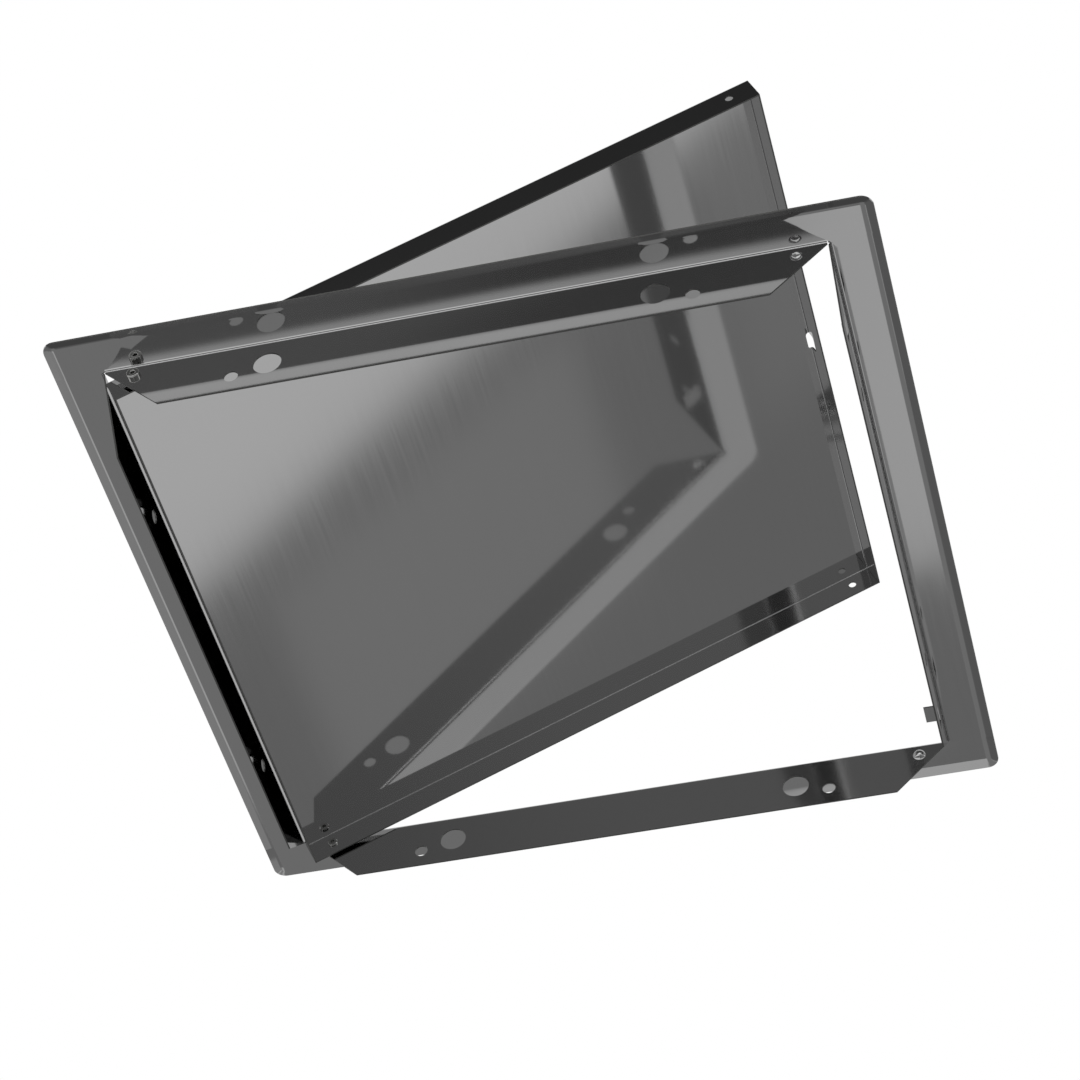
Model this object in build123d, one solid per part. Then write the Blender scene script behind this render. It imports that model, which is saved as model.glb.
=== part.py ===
from build123d import *
import os
from math import atan2, cos, radians, sin

# A square stainless access panel: a frame and a door, each folded from one sheet,
# joined by two hollow hinge pins. The door stands open, swung out of the frame.
#
# The panel is drawn lying on its face. Local x runs from the hinge side to the latch side,
# local y runs up, and local z runs towards the back, from zero on the flange's back face.
# At the end everything is stood upright: x turns to -X, y to +Z and z to +Y.
# The finished origin is the middle of the opening, in the plane of the wall.

# Driving dimensions in millimetres
SHEET = 0.7                 # sheet thickness of frame and door
OPENING = 300.0             # clear width and height between the frame's walls
FLANGE_WIDTH = 21.0         # from the opening to the outer edge
BEND = 0.4                  # radius inside the sharp folds

# The sloping rim round the flange
RIM_WIDTH = 4.4
RIM_SET = 1.0               # how far the rim's edge stands behind the flange
RIM_BEND = 3.0
CORNER_RADIUS = 5.5         # outer corners of the frame

# The four wall flaps
WALL_DEPTH = 25.3           # from the flange's back face to the free edge
WALL_END_GAP = 1.2          # relief between two flaps at the fold
WALL_TAPER = 24.5           # how much each end is cut back at the free edge

# Punched holes, as radius, distance from the middle and depth behind the flange
ANCHOR_HOLE = (6.0, 80.0, 12.8)
SCREW_HOLE = (3.0, 95.0, 17.0)
SIDE_HOLE = (3.0, 80.0, 14.3)

# Hinge line and catch nibs, both this far in from the opening's corner
HINGE_INSET = 13.0
HINGE_DEPTH = 6.25          # behind the panel's front face
NIB_BASE = 3.0
NIB_HEIGHT = 1.9
NIB_SKIN = 0.6              # sheet left in the pressed nib

# Stops lanced out of the latch-side flap
STOP_OFFSET = 117.0
STOP_WIDTH = 9.5
STOP_REACH = 5.6            # from the flap's inner face
STOP_CLEARANCE = 0.3        # to the closed door's lip
STOP_BEND = 0.3
LANCE_KERF = 0.3
LOWER_STOP_FOLD = 90.0      # degrees
UPPER_STOP_FOLD = 8.0       # degrees, this stop is only just pushed in

# The door
DOOR_GAP = 1.5
LIP_HEIGHT = 12.5           # over the outside
LIP_HOLE = 1.8
CORNER_SEAM = 0.2
SLOT_LENGTH = 9.5
SLOT_FACE = 2.3             # how far the slot runs onto the door's face
SLOT_LIP = 5.0              # how far it runs up the lip, over the outside
SLOT_CORNER = 1.6
OPEN_ANGLE = 24.0           # degrees from closed

# The hinge pins
PIN_RADIUS = 1.75
PIN_BORE = 0.9
HEAD_RADIUS = 2.8
HEAD_HEIGHT = 1.9
HEAD_ROUND = 0.6
COLLAR_RADIUS = 2.5
FLARE_RADIUS = 2.25
FLARE_HEIGHT = 0.8
PIN_PLAY = 0.15             # along the pin, each side of the door's lip

# Worked out from the above
HALF = OPENING / 2
FOLD = SHEET + BEND         # from a wall's inner face to where its fold begins
HINGE_X = -(HALF - HINGE_INSET)
HINGE_Z = HINGE_DEPTH - SHEET
DOOR_HALF = HALF - DOOR_GAP
LIP_TOP = LIP_HEIGHT - SHEET
STOP_ROOT = LIP_TOP + STOP_CLEARANCE - STOP_BEND
STOP_RUN = STOP_REACH - STOP_BEND
OUTER = HALF + FLANGE_WIDTH
RIM_SLOPE = atan2(RIM_SET, RIM_WIDTH)
RIM_EDGE = OUTER - SHEET * sin(RIM_SLOPE)
RIM_FOLD = RIM_EDGE - RIM_WIDTH
RIM_LEAD = 0.8              # flat sheet between the rim's bend and the ring


def angle_section(face, height):
    """Section of a folded edge in the y-z plane: its inner face stands at y = face and
    its free edge at z = height, and the fold turns outward into the flat sheet."""
    centre = (face + FOLD, BEND)
    outside = CenterArc(centre, SHEET + BEND, 180, 90)
    inside = CenterArc(centre, BEND, 180, 90)
    free_inner = Line(outside @ 0, (face, height))
    free_edge = Line((face, height), (face + SHEET, height))
    free_outer = Line((face + SHEET, height), inside @ 0)
    joint = Line(inside @ 1, outside @ 1)
    return Plane.YZ * make_face([outside, free_inner, free_edge, free_outer, inside, joint])


def rim():
    """The sloping rim: its bent section swept once round the rounded outline."""
    edge_front = (OUTER, RIM_SET - SHEET * cos(RIM_SLOPE))
    front_fold = RIM_FOLD + SHEET * (1 - cos(RIM_SLOPE)) / sin(RIM_SLOPE)
    section = Polygon(
        (RIM_FOLD - RIM_LEAD, 0), (RIM_FOLD, 0), (RIM_EDGE, RIM_SET), edge_front,
        (front_fold, -SHEET), (RIM_FOLD - RIM_LEAD, -SHEET), align=None,
    )
    back, front = Vector(RIM_FOLD, 0), Vector(front_fold, -SHEET)
    section = fillet(section.vertices().sort_by_distance(back)[0], RIM_BEND)
    section = fillet(section.vertices().sort_by_distance(front)[0], RIM_BEND + SHEET)
    path = RectangleRounded(2 * OUTER, 2 * OUTER, CORNER_RADIUS).wire()
    return sweep(Plane.XZ * section, path=path)


def flange():
    """The flat ring between the walls' folds and the rim."""
    outer = 2 * (RIM_FOLD - RIM_LEAD)
    corner = CORNER_RADIUS - (OUTER - RIM_FOLD) - RIM_LEAD
    inner = 2 * (HALF + FOLD)
    ring = RectangleRounded(outer, outer, corner) - Rectangle(inner, inner)
    return Pos(0, 0, -SHEET) * extrude(ring, SHEET)


def wall():
    """One wall flap at the top edge, folded back and tapered towards its free edge."""
    foot = HALF - WALL_END_GAP
    tip = HALF - WALL_TAPER
    blank = Plane.XZ * Polygon(
        (-foot, -SHEET), (foot, -SHEET), (foot, BEND), (tip, WALL_DEPTH),
        (-tip, WALL_DEPTH), (-foot, BEND), align=None,
    )
    folded = extrude(angle_section(HALF, WALL_DEPTH), foot, both=True)
    return folded & extrude(blank, -(HALF + 2 * FOLD))


def wall_holes(hole):
    """A pair of punched holes through the top wall, either side of the middle."""
    radius, offset, depth = hole
    punch = Cylinder(radius, 4 * SHEET, rotation=(90, 0, 0))
    return [Pos(side * offset, HALF, depth) * punch for side in (-1, 1)]


def nib():
    """A dome pressed inward from the top wall, as its outer and its hollow sphere."""
    dome_radius = (NIB_BASE ** 2 + NIB_HEIGHT ** 2) / (2 * NIB_HEIGHT)
    place = Pos(-HINGE_X, HALF - NIB_HEIGHT + dome_radius, HINGE_Z)
    within_wall = Pos(-HINGE_X, HALF + (SHEET - NIB_HEIGHT) / 2, HINGE_Z) * Box(
        2 * dome_radius, NIB_HEIGHT + SHEET, 2 * dome_radius)
    dome = place * Sphere(dome_radius) & within_wall
    return dome, place * Sphere(dome_radius - NIB_SKIN)


def lance_window(offset):
    """The window that a stop leaves in the top wall."""
    height = STOP_RUN + STOP_BEND + SHEET + LANCE_KERF
    width = STOP_WIDTH + 2 * LANCE_KERF
    return Pos(offset, HALF, STOP_ROOT + height / 2) * Box(width, 4 * SHEET, height)


def stop(offset, fold):
    """A stop folded into the opening from the front edge of its window in the top wall."""
    centre = (HALF - STOP_BEND, STOP_ROOT)
    outside = CenterArc(centre, STOP_BEND + SHEET, 0, fold)
    inside = CenterArc(centre, STOP_BEND, 0, fold)
    run = Vector(-sin(radians(fold)), cos(radians(fold))) * STOP_RUN
    tip_out = outside @ 1 + run
    tip_in = inside @ 1 + run
    section = Plane.YZ * make_face([
        outside, Line(outside @ 1, tip_out), Line(tip_out, tip_in),
        Line(tip_in, inside @ 1), inside, Line(inside @ 0, outside @ 0),
    ])
    return Pos(offset, 0, 0) * extrude(section, STOP_WIDTH / 2, both=True)


def frame():
    """The whole frame as one sheet: rim, flange, four walls, nibs, stops and holes."""
    plain = wall()
    dome, hollow = nib()
    pin_hole = Pos(HINGE_X, HALF, HINGE_Z) * Cylinder(PIN_RADIUS, 4 * SHEET, rotation=(90, 0, 0))
    top = plain + dome
    for cut in [hollow, pin_hole] + wall_holes(ANCHOR_HOLE) + wall_holes(SCREW_HOLE):
        top -= cut
    bottom = mirror(top, Plane.XZ)
    side = plain
    for cut in wall_holes(SIDE_HOLE):
        side -= cut
    hinge_side = Rot(0, 0, 90) * side
    latch = side - lance_window(STOP_OFFSET) - lance_window(-STOP_OFFSET)
    latch = latch + stop(STOP_OFFSET, LOWER_STOP_FOLD) + stop(-STOP_OFFSET, UPPER_STOP_FOLD)
    latch_side = Rot(0, 0, -90) * latch
    return flange() + rim() + top + bottom + hinge_side + latch_side


def door_slot():
    """The slot over the middle of the latch-side fold, cut from the face and from the lip."""
    face_run = SLOT_FACE + FOLD
    lip_run = SLOT_LIP + FOLD
    on_face = Pos(DOOR_HALF - SLOT_FACE + face_run / 2, 0, 0) * extrude(
        RectangleRounded(face_run, SLOT_LENGTH, SLOT_CORNER), 2 * SHEET, both=True)
    on_lip = Pos(DOOR_HALF, 0, SLOT_LIP - SHEET - lip_run / 2) * extrude(
        Plane.YZ * RectangleRounded(SLOT_LENGTH, lip_run, SLOT_CORNER), 2 * SHEET, both=True)
    return on_face + on_lip


def door():
    """The door as one sheet, closed: a flat face and four lips that meet at the corners."""
    flat = 2 * (DOOR_HALF - FOLD)
    face = Pos(0, 0, -SHEET / 2) * Box(flat, flat, SHEET)
    turned = mirror(angle_section(-DOOR_HALF, LIP_TOP), Plane.XZ)
    long_lip = extrude(angle_section(-DOOR_HALF, LIP_TOP), DOOR_HALF, both=True)
    short_lip = extrude(turned, DOOR_HALF - SHEET - CORNER_SEAM, both=True)
    hole = Cylinder(LIP_HOLE, 4 * DOOR_HALF, rotation=(90, 0, 0))
    body = face + long_lip + Rot(0, 0, 180) * long_lip
    body = body + Rot(0, 0, 90) * short_lip + Rot(0, 0, -90) * short_lip
    body = body - Pos(HINGE_X, 0, HINGE_Z) * hole - Pos(-HINGE_X, 0, HINGE_Z) * hole
    return body - door_slot()


def hinge_pin():
    """The upper hinge pin: a hollow rivet with its head on the outside of the top wall,
    a collar between the wall and the door's lip, and an end flared under the lip."""
    lip_out = DOOR_HALF + PIN_PLAY
    lip_in = DOOR_HALF - SHEET - PIN_PLAY
    end = lip_in - FLARE_HEIGHT
    head = HALF + SHEET + HEAD_HEIGHT
    half_section = Polygon(
        (PIN_BORE, end), (FLARE_RADIUS - 0.3, end), (FLARE_RADIUS, end + 0.3),
        (FLARE_RADIUS, lip_in), (PIN_RADIUS, lip_in), (PIN_RADIUS, lip_out),
        (COLLAR_RADIUS, lip_out), (COLLAR_RADIUS, HALF), (PIN_RADIUS, HALF),
        (PIN_RADIUS, HALF + SHEET), (HEAD_RADIUS, HALF + SHEET),
        (HEAD_RADIUS, head), (PIN_BORE, head), align=None,
    )
    rim_corners = half_section.vertices().filter_by_position(Axis.Y, head - 0.01, head + 0.01)
    half_section = fillet(rim_corners, HEAD_ROUND)
    return Pos(HINGE_X, 0, HINGE_Z) * revolve(half_section, Axis.Y)


def upright(shape):
    """Stands a finished piece up, with the wall's plane at Y = 0."""
    return Plane(origin=(0, -RIM_SET, 0), x_dir=(-1, 0, 0), z_dir=(0, 1, 0)).location * shape


def main():
    hinge_line = Axis((HINGE_X, 0, HINGE_Z), (0, 1, 0))
    upper_pin = hinge_pin()
    pieces = {
        "frame": frame(),
        "door": door().rotate(hinge_line, OPEN_ANGLE),
        "hinge_pin_top": upper_pin,
        "hinge_pin_bottom": mirror(upper_pin, Plane.XZ),
    }
    os.makedirs("parts", exist_ok=True)
    for name, shape in pieces.items():
        export_step(upright(shape), f"parts/{name}.step")


if __name__ == "__main__":
    main()
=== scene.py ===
import bmesh
import bpy
import numpy as np
from bpy.props import FloatProperty, PointerProperty, StringProperty
from mathutils import Matrix, Vector


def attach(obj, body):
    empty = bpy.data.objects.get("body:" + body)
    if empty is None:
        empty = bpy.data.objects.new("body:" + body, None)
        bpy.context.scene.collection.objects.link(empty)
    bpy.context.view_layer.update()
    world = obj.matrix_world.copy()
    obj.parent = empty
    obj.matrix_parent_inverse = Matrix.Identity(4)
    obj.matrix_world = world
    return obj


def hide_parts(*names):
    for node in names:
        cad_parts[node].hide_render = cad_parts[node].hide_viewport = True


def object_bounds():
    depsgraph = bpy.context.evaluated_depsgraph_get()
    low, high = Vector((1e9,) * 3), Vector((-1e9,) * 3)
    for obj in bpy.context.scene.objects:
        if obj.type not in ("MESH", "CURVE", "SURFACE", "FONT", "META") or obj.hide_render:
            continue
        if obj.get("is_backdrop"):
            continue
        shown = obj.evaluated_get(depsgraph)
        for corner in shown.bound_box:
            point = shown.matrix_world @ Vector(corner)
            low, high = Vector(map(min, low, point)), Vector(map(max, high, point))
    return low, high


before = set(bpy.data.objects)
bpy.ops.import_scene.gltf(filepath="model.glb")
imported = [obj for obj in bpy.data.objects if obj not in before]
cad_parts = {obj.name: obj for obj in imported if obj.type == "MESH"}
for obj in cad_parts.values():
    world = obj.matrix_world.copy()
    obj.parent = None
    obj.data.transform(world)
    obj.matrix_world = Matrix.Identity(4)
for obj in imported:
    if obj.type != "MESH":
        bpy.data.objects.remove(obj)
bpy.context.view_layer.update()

bl_info = {
    "name": "Steel access panel",
    "version": (1, 0, 0),
    "blender": (4, 2, 0),
    "location": "View3D > Sidebar > Access panel",
    "description": "Finishes a folded stainless access panel and sets up its studio",
    "category": "Object",
}

MM = 0.001

# Places in the panel's own frame, in millimetres: x and z from the middle of the opening,
# and y into the wall
OPENING_HALF = 150.0        # to a flap's inner face
SHEET = 0.7
FLAP_EDGE_Y = 24.3          # free edge of the flaps
FLANGE_BACK_Y = -1.0
FRONT_Y = -1.7              # front face of the flange and of the closed door
RIM_EDGE = 171.0
RIM_SET = 1.0               # how far the rim's edge stands behind the flange
DOOR_HALF = 148.5
LIP_DEPTH = 12.5            # over the door's front face
HINGE = (137.0, 4.55)       # x and y of the hinge line
DOOR_OPEN = 24.0            # degrees from closed

# The real sheet has softer bends than the solid frame, so the frame's skin is eased to these
SOLID_BEND = 0.4            # inside radius of the solid's folds
SOFT_BEND = 1.1             # the same on the real sheet
SOLID_FOOT = 148.8          # half the length of a flap's fold
SOFT_FOOT = 149.7
INNER_CORNER = 149.8        # beyond this both ways lies a corner of the flange's opening
RIM_START = 164.5           # beyond this lies the rim with its bend
RIM_CORNER = 165.5          # centre of the rounded corners
RIM_OUT = 170.85            # outer edge of the rim's back face
HAIR = 0.01                 # two places this near are the same

# Where the bend into the rim begins and ends, and the new edge loops that carry the soft one
SOLID_RIM = (166.11, 166.77)
SOFT_RIM = (165.3, 168.4)
RIM_CUTS = (165.3, 165.7, 167.3, 167.85, 168.4)

# How a face is known for a sheared edge
FACE_BAND = 0.05            # how near to a wall its middle lies, in millimetres
RIM_BAND = 0.3              # how near to the rim's edge
IN_PLANE = 0.02             # most of a cut's normal that points out of the wall's plane
RIM_LEAN = 0.5              # most of the rim cut's normal that points forward or back

# How the skins are joined and shaded
WELD = 1e-6                 # corners this near are joined, in metres
SHARP_ANGLE = 28.0          # degrees between two faces, from which their edge stays sharp
AREA_WEIGHT = 100           # large faces steer the shading

# The rolled face has streaks and patches. Over a range of their sum it goes from glossy to
# dull, in shares of its roughness, and from dark to light, in shares of its tone
PATCH_SHARE = 0.5
DULLED, ROUGH_SHARE = (0.35, 1.15), (0.8, 1.25)
SHADED, TONE_SHARE = (0.3, 1.2), (0.97, 1.0)
BOW = (151.0, 161.0)        # the upper and lower flange bow between these heights

# The turned face has rings: metres from ring to ring at scale 1, and shares of its roughness
RING_STEP = 0.3
RING_SHARE = (0.75, 1.3)


def linear(code):
    """The linear RGBA of an sRGB hex colour such as "#c8c8c8"."""
    parts = [int(code[i:i + 2], 16) / 255 for i in (1, 3, 5)]
    return tuple(c / 12.92 if c <= 0.04045 else ((c + 0.055) / 1.055) ** 2.4 for c in parts) + (1.0,)


def add(tree, kind, settings=None, **inputs):
    """Adds one node. settings are its own properties. Each input is a value or a socket, under
    its name with _ for a space, or under i and its number where names repeat."""
    made = tree.nodes.new(kind)
    for name, value in (settings or {}).items():
        setattr(made, name, value)
    for name, value in inputs.items():
        key = int(name[1:]) if name[0] == "i" and name[1:].isdigit() else name.replace("_", " ")
        if isinstance(value, bpy.types.NodeSocket):
            tree.links.new(value, made.inputs[key])
        else:
            made.inputs[key].default_value = value
    return made


def new_material(name):
    """An empty node material and its output node."""
    made = bpy.data.materials.new(name)
    made.use_nodes = True
    made.node_tree.nodes.clear()
    return made, made.node_tree, made.node_tree.nodes.new("ShaderNodeOutputMaterial")


class SheetSettings(bpy.types.PropertyGroup):
    """The rolled sheet that the frame and the door are folded from."""
    tone: StringProperty(
        name="Tone", description="Colour of the steel's reflections, as sRGB hex", default="#c9c9c9")
    edge_tone: StringProperty(
        name="Edge tone", description="Colour of the sheared edges", default="#6e6e6d")
    roughness: FloatProperty(
        name="Roughness", description="Blur of the rolled face", default=0.06, min=0.0, max=1.0)
    edge_roughness: FloatProperty(
        name="Edge roughness", description="Blur of the sheared edges", default=0.42, min=0.0, max=1.0)
    grain_width: FloatProperty(
        name="Grain width", description="Width of one rolling streak, in mm", default=1.4)
    grain_length: FloatProperty(
        name="Grain length", description="Length of one rolling streak, in mm", default=70.0)
    grain_height: FloatProperty(
        name="Grain height", description="Height of the streaks, in mm", default=0.00015, precision=5)
    patch_size: FloatProperty(
        name="Patch size", description="Size of the duller patches, in mm", default=60.0)
    wave_length: FloatProperty(
        name="Wave length", description="From one shallow wave of the sheet to the next, in mm", default=95.0)
    wave_height: FloatProperty(
        name="Wave height", description="Height of those waves, in mm", default=0.03)
    flange_bow: FloatProperty(
        name="Flange bow", description="How far the flange bows up towards its fold, in mm", default=0.25)


class PinSettings(bpy.types.PropertyGroup):
    """The turned hinge pins."""
    tone: StringProperty(name="Tone", description="Colour of the turned steel", default="#b9b9b7")
    roughness: FloatProperty(
        name="Roughness", description="Blur of the turned faces", default=0.14, min=0.0, max=1.0)
    groove: FloatProperty(
        name="Tool mark", description="From one turning mark to the next, in mm", default=0.25)
    groove_depth: FloatProperty(
        name="Mark depth", description="Depth of a turning mark, in mm", default=0.004, precision=3)


class StudioSettings(bpy.types.PropertyGroup):
    """The white floor and the grey studio that the steel mirrors."""
    floor_drop: FloatProperty(
        name="Floor drop", description="How far the floor lies under the panel", default=0.45, unit="LENGTH")
    floor_size: FloatProperty(
        name="Floor size", description="Width of the floor", default=14.0, unit="LENGTH")
    floor_tone: StringProperty(
        name="Floor tone", description="Colour of the light that the floor gives back", default="#d8d8d8")


def shut(centre, normal):
    """Turns the open door's face centres and normals back to where they are when it is shut."""
    turn = np.radians(-DOOR_OPEN)
    spin = np.array([[np.cos(turn), -np.sin(turn)], [np.sin(turn), np.cos(turn)]])
    centre[:, :2] = (centre[:, :2] - HINGE) @ spin.T + HINGE
    normal[:, :2] = normal[:, :2] @ spin.T


def sheared_mask(mesh, node):
    """For each face 1 where the sheet was cut through and 0 where it was rolled, from the
    face's place and from its normal, which on a cut lies in the sheet's own plane."""
    count = len(mesh.polygons)
    normal, centre = np.empty(count * 3), np.empty(count * 3)
    mesh.polygons.foreach_get("normal", normal)
    mesh.polygons.foreach_get("center", centre)
    normal, centre = normal.reshape(-1, 3), centre.reshape(-1, 3) / MM
    if node == "door":
        shut(centre, normal)
        wall, edge_y = DOOR_HALF - SHEET, FRONT_Y + LIP_DEPTH
    else:
        wall, edge_y = OPENING_HALF, FLAP_EDGE_Y
    x, y, z = abs(centre[:, 0]), centre[:, 1], abs(centre[:, 2])
    near, far = wall - FACE_BAND, wall + SHEET + FACE_BAND
    flat_wall = (z > near) & (z < far) & (x < wall)
    side_wall = (x > near) & (x < far) & (z < wall)
    cut = y > edge_y - FACE_BAND
    cut |= flat_wall & (abs(normal[:, 2]) < IN_PLANE) & (y > 0)
    cut |= side_wall & (abs(normal[:, 0]) < IN_PLANE) & (y > 0)
    if node == "frame":
        rim = (np.maximum(x, z) > RIM_EDGE - RIM_BAND) & (y < HAIR)
        cut |= rim & (abs(normal[:, 1]) < RIM_LEAN)
    return cut.astype(np.float32)


def rim_rise(out, bend):
    """Height of the rim's back face over the flange: nothing before the bend, a parabola
    through it and then a straight slope up to RIM_SET at the outer edge."""
    start, end = bend
    slope = RIM_SET / (RIM_OUT - (start + end) / 2)
    along = min(max(out - start, 0.0), end - start)
    return slope * (along ** 2 / (2 * (end - start)) + max(out - end, 0.0))


def soften_fold(side, depth):
    """Moves a point of the solid's tight fold out onto an arc with the soft radius."""
    grow = SOFT_BEND - SOLID_BEND
    centre = OPENING_HALF + SHEET + SOLID_BEND
    inward, forward = centre - side, SOLID_BEND - depth
    radius = np.hypot(inward, forward)
    scale = (radius + grow) / radius
    return centre + grow - inward * scale, SOFT_BEND - forward * scale


def eased(x, z, depth):
    """Where a point of the solid frame goes on the eased skin. x and z are its distances from
    the middle, and depth is how far it lies behind the flange's back face."""
    side, along = max(x, z), min(x, z)
    if side > RIM_START:
        past = np.hypot(max(x - RIM_CORNER, 0.0), max(z - RIM_CORNER, 0.0))
        out = RIM_CORNER + past if past else side
        return x, z, depth + rim_rise(out, SOFT_RIM) - rim_rise(out, SOLID_RIM)
    if along > INNER_CORNER:
        return OPENING_HALF, OPENING_HALF, depth
    fold_end = OPENING_HALF + SHEET + SOLID_BEND
    if OPENING_HALF - HAIR < side < fold_end + HAIR and depth < SOLID_BEND + HAIR:
        side, depth = soften_fold(side, depth)
        along = SOFT_FOOT if along > SOLID_FOOT - HAIR else along
    return (side, along, depth) if x > z else (along, side, depth)


def soften_frame(work):
    """Eases the frame's skin: rounder folds, a wide bend into the rim and closed flange corners."""
    for cut in RIM_CUTS:
        for direction in ((1, 0, 0), (-1, 0, 0), (0, 0, 1), (0, 0, -1)):
            everything = work.verts[:] + work.edges[:] + work.faces[:]
            place = Vector(direction) * cut * MM
            bmesh.ops.bisect_plane(
                work, geom=everything, dist=WELD / 10, plane_co=place, plane_no=direction)
    for vert in work.verts:
        place = vert.co / MM
        x, z, depth = eased(abs(place.x), abs(place.z), place.y - FLANGE_BACK_Y)
        x, z = np.copysign(x, place.x), np.copysign(z, place.z)
        vert.co = Vector((x, depth + FLANGE_BACK_Y, z)) * MM


def sheet_piece(name, node, body):
    """A sheet's visible skin: the folded solid's faces, joined and shaded smooth over the folds,
    with a face attribute that marks the sheared edges."""
    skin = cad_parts[node].data.copy()
    skin.name = name
    work = bmesh.new()
    work.from_mesh(skin)
    bmesh.ops.remove_doubles(work, verts=work.verts, dist=WELD)
    if node == "frame":
        soften_frame(work)
    work.to_mesh(skin)
    work.free()
    if skin.attributes.get("custom_normal"):
        skin.attributes.remove(skin.attributes["custom_normal"])
    skin.materials.clear()
    piece = bpy.data.objects.new(name, skin)
    bpy.context.scene.collection.objects.link(piece)
    mask = skin.attributes.new("sheared", "FLOAT", "FACE")
    mask.data.foreach_set("value", sheared_mask(skin, node))
    skin.shade_smooth()
    skin.set_sharp_from_angle(angle=np.radians(SHARP_ANGLE))
    keep_flat = piece.modifiers.new("flat faces stay flat", "WEIGHTED_NORMAL")
    keep_flat.keep_sharp = True
    keep_flat.weight = AREA_WEIGHT
    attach(piece, body)
    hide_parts(node)
    return piece


def rolled_stainless(settings):
    """Cold-rolled stainless sheet with a bright 2B face: a soft mirror with faint streaks along
    the rolling direction, very shallow waves, and duller grey edges where it was sheared."""
    made, tree, out = new_material("Rolled bright stainless sheet")
    place = add(tree, "ShaderNodeTexCoord").outputs["Object"]
    across, along = 1 / (settings.grain_width * MM), 1 / (settings.grain_length * MM)
    streak_place = add(tree, "ShaderNodeMapping", Vector=place, Scale=(across, across, along))
    streaks = add(tree, "ShaderNodeTexNoise",
                  Vector=streak_place.outputs[0], Scale=1.0, Detail=3.0, Roughness=0.6)
    patches = add(tree, "ShaderNodeTexNoise",
                  Vector=place, Scale=1 / (settings.patch_size * MM), Detail=4.0, Roughness=0.55)
    both = add(tree, "ShaderNodeMath", {"operation": "MULTIPLY_ADD"},
               i0=patches.outputs[0], i1=PATCH_SHARE, i2=streaks.outputs[0])
    face_rough = add(tree, "ShaderNodeMapRange", i0=both.outputs[0], i1=DULLED[0], i2=DULLED[1],
                     i3=settings.roughness * ROUGH_SHARE[0], i4=settings.roughness * ROUGH_SHARE[1])
    sheared = add(tree, "ShaderNodeAttribute", {"attribute_name": "sheared"}).outputs["Fac"]
    rough = add(tree, "ShaderNodeMix", {"data_type": "FLOAT"},
                i0=sheared, i2=face_rough.outputs[0], i3=settings.edge_roughness)
    shade = add(tree, "ShaderNodeMapRange", i0=both.outputs[0], i1=SHADED[0], i2=SHADED[1],
                i3=TONE_SHARE[0], i4=TONE_SHARE[1])
    tint = add(tree, "ShaderNodeMix", {"data_type": "RGBA", "blend_type": "MULTIPLY"},
               i0=1.0, i6=linear(settings.tone), i7=shade.outputs[0])
    colour = add(tree, "ShaderNodeMix", {"data_type": "RGBA"},
                 i0=sheared, i6=tint.outputs[2], i7=linear(settings.edge_tone))
    relief = sheet_relief(tree, settings, place, streaks.outputs[0])
    steel = add(tree, "ShaderNodeBsdfPrincipled", Metallic=1.0, Base_Color=colour.outputs[2],
                Roughness=rough.outputs[0], Normal=relief)
    tree.links.new(steel.outputs[0], out.inputs["Surface"])
    return made


def sheet_relief(tree, settings, place, streaks):
    """The sheet's shallow waves, the flange's bow and the height of the streaks."""
    wave = add(tree, "ShaderNodeTexNoise",
               Vector=place, Scale=1 / (settings.wave_length * MM), Detail=1.0, Roughness=0.4)
    waved = add(tree, "ShaderNodeBump",
                Height=wave.outputs[0], Strength=1.0, Distance=settings.wave_height * MM)
    z = add(tree, "ShaderNodeSeparateXYZ", Vector=place).outputs[2]
    height = add(tree, "ShaderNodeMath", {"operation": "ABSOLUTE"}, i0=z).outputs[0]
    bow = add(tree, "ShaderNodeMapRange", i0=height, i1=BOW[1] * MM, i2=BOW[0] * MM).outputs[0]
    bow = add(tree, "ShaderNodeMath", {"operation": "MULTIPLY"}, i0=bow, i1=bow).outputs[0]
    bowed = add(tree, "ShaderNodeBump",
                Height=bow, Strength=1.0, Distance=settings.flange_bow * MM, Normal=waved.outputs[0])
    fine = add(tree, "ShaderNodeBump",
               Height=streaks, Strength=1.0, Distance=settings.grain_height * MM, Normal=bowed.outputs[0])
    return fine.outputs[0]


def turned_steel(settings):
    """Free-cutting stainless rod, turned: fine rings round the pin's axis break the highlight."""
    made, tree, out = new_material("Turned stainless rod")
    place = add(tree, "ShaderNodeTexCoord").outputs["Object"]
    centred = add(tree, "ShaderNodeMapping",
                  Vector=place, Location=(-HINGE[0] * MM, -HINGE[1] * MM, 0.0))
    rings = add(tree, "ShaderNodeTexWave", {"wave_type": "RINGS", "rings_direction": "Z"},
                Vector=centred.outputs[0], Scale=RING_STEP / (settings.groove * MM),
                Distortion=0.6, Detail=2.0)
    rough = add(tree, "ShaderNodeMapRange", i0=rings.outputs["Fac"],
                i3=settings.roughness * RING_SHARE[0], i4=settings.roughness * RING_SHARE[1])
    bump = add(tree, "ShaderNodeBump", Height=rings.outputs["Fac"], Strength=0.6,
               Distance=settings.groove_depth * MM)
    steel = add(tree, "ShaderNodeBsdfPrincipled", Metallic=1.0, Base_Color=linear(settings.tone),
                Roughness=rough.outputs[0], Normal=bump.outputs[0])
    tree.links.new(steel.outputs[0], out.inputs["Surface"])
    return made


def sheet_finish():
    """The one sheet material, made on first use and shared by frame and door."""
    made = bpy.data.materials.get("Rolled bright stainless sheet")
    return made or rolled_stainless(bpy.context.scene.access_sheet)


class ACCESS_OT_frame(bpy.types.Operator):
    """Gives the folded frame its skin of rolled steel"""
    bl_idname = "access_panel.frame"
    bl_label = "Frame"

    def execute(self, context):
        sheet_piece("frame_sheet", "frame", "frame").data.materials.append(sheet_finish())
        return {"FINISHED"}


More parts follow.
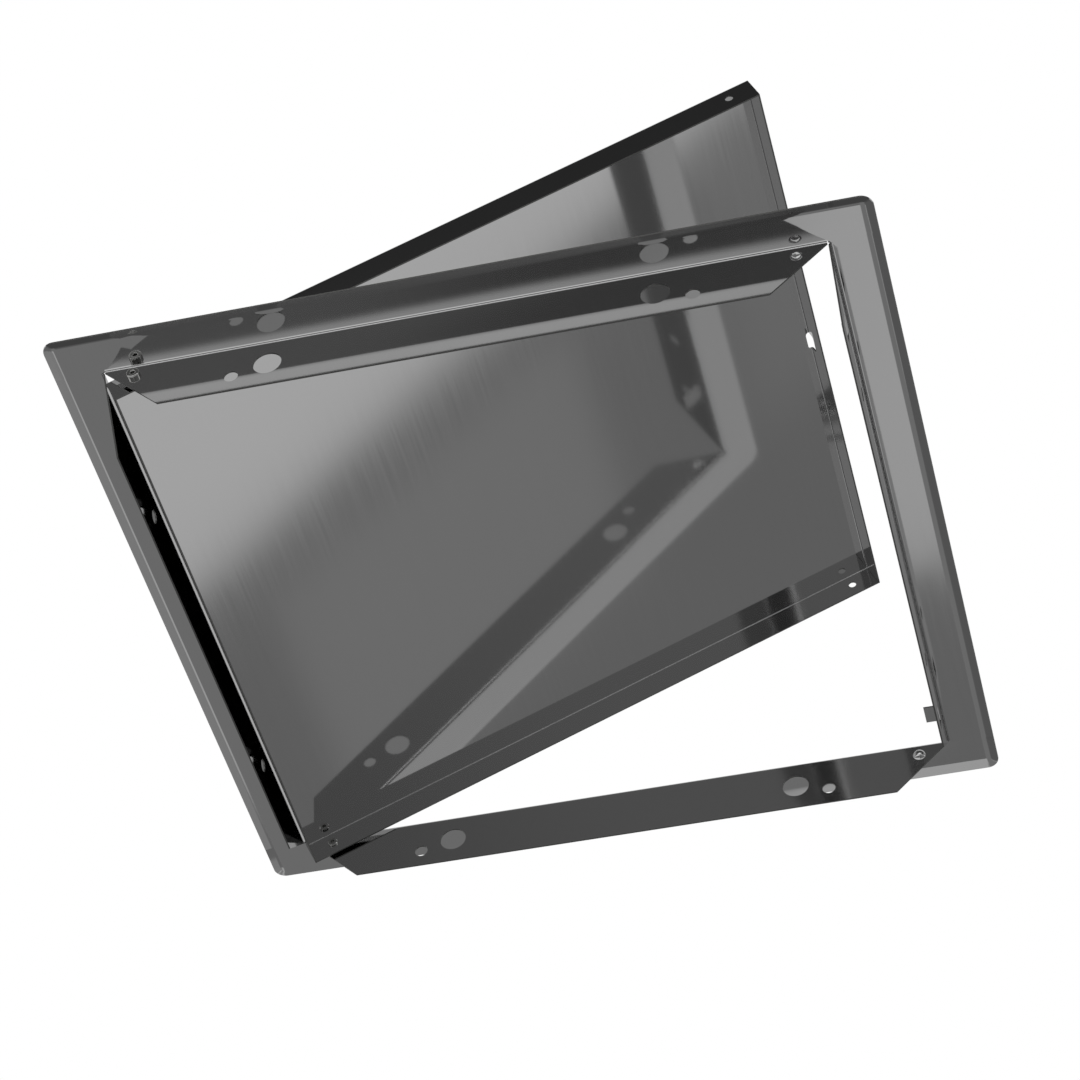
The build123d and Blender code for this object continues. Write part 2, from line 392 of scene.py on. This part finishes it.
class ACCESS_OT_door(bpy.types.Operator):
    """Gives the door tray its skin of rolled steel"""
    bl_idname = "access_panel.door"
    bl_label = "Door"

    def execute(self, context):
        sheet_piece("door_sheet", "door", "door").data.materials.append(sheet_finish())
        return {"FINISHED"}


class ACCESS_OT_pins(bpy.types.Operator):
    """Gives both hinge pins their turned finish"""
    bl_idname = "access_panel.pins"
    bl_label = "Hinge pins"

    def execute(self, context):
        finish = turned_steel(context.scene.access_pins)
        for node in ("hinge_pin_top", "hinge_pin_bottom"):
            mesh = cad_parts[node].data
            mesh.materials.clear()
            mesh.materials.append(finish)
        return {"FINISHED"}


def soft_step(tree, value, low, high):
    """0 below low, 1 above high, and a smooth ramp between."""
    ramp = add(tree, "ShaderNodeMapRange", {"interpolation_type": "SMOOTHSTEP"},
               i0=value, i1=low, i2=high)
    return ramp.outputs[0]


# What the steel mirrors, by direction. Each zone lies behind the panel or in front of it. It has
# a range of across, which is x over depth, a range of rise, which is z over depth, a softness of
# its outline and a level of light. A later zone lies over an earlier one.
BEHIND, IN_FRONT = 1, -1
WIDE, FAR = 9.0, 99.0       # as good as no limit
STUDIO_LEVEL = 0.63
STUDIO_ZONES = [
    # Low behind the panel, where the room is dark
    (BEHIND, (-WIDE, -0.3), (-FAR, -1.008), 0.012, 0.185),
    (BEHIND, (-0.3, WIDE), (-FAR, -1.005), 0.006, 0.19),
    # Two slightly paler cards that show in the door
    (BEHIND, (-0.75, -0.555), (-1.19, -1.045), 0.006, 0.25),
    (BEHIND, (-WIDE, -0.84), (-1.19, -1.02), 0.03, 0.225),
    # Upright strips that show in the side flanges and their rims, and the ground under them
    (BEHIND, (-0.05, 0.04), (-1.6, 0.0), 0.02, 0.30),
    (BEHIND, (0.04, 0.125), (-1.6, 0.0), 0.02, 0.53),
    (BEHIND, (-0.3, 0.125), (-FAR, -1.005), 0.006, 0.19),
    (BEHIND, (0.125, 0.48), (-1.6, 0.0), 0.03, 0.24),
    (BEHIND, (0.50, WIDE), (-FAR, 0.0), 0.05, 0.14),
    (BEHIND, (-0.15, -0.03), (-1.1, -0.6), 0.03, 0.31),
    (BEHIND, (-WIDE, WIDE), (-FAR, -1.7), 0.2, 0.08),
    # Above, for the bottom flap, which shows it by way of the door
    (BEHIND, (-WIDE, 0.0), (0.4, WIDE), 0.04, 0.16),
    (BEHIND, (-WIDE, -0.62), (0.4, WIDE), 0.1, 0.21),
    # Above, for the top flap and the flange over it, which show it by way of each other: a
    # bright window at the horizon, a dark wall and the ceiling
    (BEHIND, (0.05, WIDE), (-0.2, 0.54), 0.13, 0.8),
    (BEHIND, (0.05, WIDE), (0.74, 2.6), 0.04, 0.095),
    (BEHIND, (0.24, WIDE), (0.74, 2.6), 0.05, 0.17),
    (BEHIND, (0.05, FAR), (3.0, FAR), 0.3, 1.1),
    # In front of the panel: a dark wall with a black band, the ceiling and the ground
    (IN_FRONT, (-WIDE, WIDE), (0.3, 2.4), 0.12, 0.09),
    (IN_FRONT, (-WIDE, WIDE), (0.6, 0.835), 0.015, 0.03),
    (IN_FRONT, (-FAR, FAR), (2.4, FAR), 0.3, 1.1),
    (IN_FRONT, (-0.3, 0.3), (-WIDE, -0.97), 0.12, 0.24),
]
LEAST_DEPTH = 0.02          # keeps across and rise finite near the panel's own plane
TURN = 0.15                 # the two sides fade into each other within this


def studio_world():
    """A grey room round the panel, drawn by direction. The camera itself sees plain white."""
    world = bpy.data.worlds.new("Grey studio")
    bpy.context.scene.world = world
    world.use_nodes = True
    tree = world.node_tree
    tree.nodes.clear()
    direction = add(tree, "ShaderNodeTexCoord").outputs["Generated"]
    x, y, z = add(tree, "ShaderNodeSeparateXYZ", Vector=direction).outputs
    depth = add(tree, "ShaderNodeMath", {"operation": "ABSOLUTE"}, i0=y).outputs[0]
    depth = add(tree, "ShaderNodeMath", {"operation": "MAXIMUM"}, i0=depth, i1=LEAST_DEPTH).outputs[0]
    across = add(tree, "ShaderNodeMath", {"operation": "DIVIDE"}, i0=x, i1=depth).outputs[0]
    rise = add(tree, "ShaderNodeMath", {"operation": "DIVIDE"}, i0=z, i1=depth).outputs[0]
    sides = {BEHIND: soft_step(tree, y, -TURN, TURN), IN_FRONT: soft_step(tree, y, TURN, -TURN)}
    level = STUDIO_LEVEL
    for side, (left, right), (low, high), soft, zone in STUDIO_ZONES:
        inside = sides[side]
        for gate in (
            soft_step(tree, across, left - soft, left + soft),
            soft_step(tree, across, right + soft, right - soft),
            soft_step(tree, rise, low - soft, low + soft),
            soft_step(tree, rise, high + soft, high - soft),
        ):
            inside = add(tree, "ShaderNodeMath", {"operation": "MULTIPLY"}, i0=inside, i1=gate).outputs[0]
        mixed = add(tree, "ShaderNodeMix", {"data_type": "FLOAT"}, i0=inside, i2=level, i3=zone)
        level = mixed.outputs[0]
    room = add(tree, "ShaderNodeBackground", Strength=level, Color=linear("#ffffff"))
    white = add(tree, "ShaderNodeBackground", Strength=1.0, Color=linear("#ffffff"))
    to_camera = add(tree, "ShaderNodeLightPath").outputs["Is Camera Ray"]
    both = add(tree, "ShaderNodeMixShader", i0=to_camera, i1=room.outputs[0], i2=white.outputs[0])
    add(tree, "ShaderNodeOutputWorld", Surface=both.outputs[0])


def studio_floor(settings):
    """A plain white floor well under the panel, out of the steel's mirror view."""
    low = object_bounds()[0][2] - settings.floor_drop
    half = settings.floor_size / 2
    mesh = bpy.data.meshes.new("studio_floor")
    corners = [(-half, -half, low), (half, -half, low), (half, half, low), (-half, half, low)]
    mesh.from_pydata(corners, [], [(0, 1, 2, 3)])
    floor = bpy.data.objects.new("studio_floor", mesh)
    bpy.context.scene.collection.objects.link(floor)
    made, tree, out = new_material("White studio floor")
    paint = add(tree, "ShaderNodeBsdfDiffuse", Color=linear(settings.floor_tone))
    glow = add(tree, "ShaderNodeEmission", Color=linear("#ffffff"), Strength=1.0)
    to_camera = add(tree, "ShaderNodeLightPath").outputs["Is Camera Ray"]
    both = add(tree, "ShaderNodeMixShader", i0=to_camera, i1=paint.outputs[0], i2=glow.outputs[0])
    tree.links.new(both.outputs[0], out.inputs["Surface"])
    mesh.materials.append(made)
    floor.visible_glossy = False
    floor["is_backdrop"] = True


# The camera in the panel's axes: where it stands, in metres, which way its right and its back
# point, and its lens and sensor in millimetres
CAMERA_PLACE = Vector((-0.2574, 1.1024, 1.0694))
CAMERA_RIGHT = Vector((-0.9725, -0.0037, -0.2330))
CAMERA_BACK = Vector((-0.1659, 0.7133, 0.6810))
LENS = 120.71
SENSOR_WIDTH = 36.0
CLIP_START = 0.01           # metres


def studio_camera():
    """A long lens behind and above the panel, rolled a little."""
    place, right, back = CAMERA_PLACE, CAMERA_RIGHT, CAMERA_BACK
    up = back.cross(right)
    data = bpy.data.cameras.new("camera")
    data.lens = LENS
    data.sensor_width = SENSOR_WIDTH
    data.clip_start = CLIP_START
    camera = bpy.data.objects.new("camera", data)
    camera.matrix_world = Matrix((
        (right.x, up.x, back.x, place.x), (right.y, up.y, back.y, place.y),
        (right.z, up.z, back.z, place.z), (0, 0, 0, 1),
    ))
    bpy.context.scene.collection.objects.link(camera)
    bpy.context.scene.camera = camera


class ACCESS_OT_stage(bpy.types.Operator):
    """Sets up the camera, the grey studio and the white floor"""
    bl_idname = "access_panel.stage"
    bl_label = "Stage"

    def execute(self, context):
        studio_world()
        studio_floor(context.scene.access_studio)
        studio_camera()
        context.scene.view_settings.view_transform = "Standard"
        return {"FINISHED"}


class ACCESS_PT_panel(bpy.types.Panel):
    """Lists the operators and the sizes and colours that they use"""
    bl_idname = "ACCESS_PT_panel"
    bl_label = "Access panel"
    bl_space_type = "VIEW_3D"
    bl_region_type = "UI"
    bl_category = "Access panel"

    def draw(self, context):
        for group, operators in (
            (context.scene.access_sheet, ("access_panel.frame", "access_panel.door")),
            (context.scene.access_pins, ("access_panel.pins",)),
            (context.scene.access_studio, ("access_panel.stage",)),
        ):
            box = self.layout.box()
            for name in group.__annotations__:
                box.prop(group, name)
            for operator in operators:
                box.operator(operator)


CLASSES = (
    SheetSettings, PinSettings, StudioSettings,
    ACCESS_OT_frame, ACCESS_OT_door, ACCESS_OT_pins, ACCESS_OT_stage, ACCESS_PT_panel,
)


def register():
    for cls in CLASSES:
        bpy.utils.register_class(cls)
    bpy.types.Scene.access_sheet = PointerProperty(type=SheetSettings)
    bpy.types.Scene.access_pins = PointerProperty(type=PinSettings)
    bpy.types.Scene.access_studio = PointerProperty(type=StudioSettings)


def unregister():
    del bpy.types.Scene.access_studio
    del bpy.types.Scene.access_pins
    del bpy.types.Scene.access_sheet
    for cls in reversed(CLASSES):
        bpy.utils.unregister_class(cls)


def main():
    register()
    bpy.ops.access_panel.frame()
    bpy.ops.access_panel.door()
    bpy.ops.access_panel.pins()
    bpy.ops.access_panel.stage()


if __name__ == "__main__":
    main()
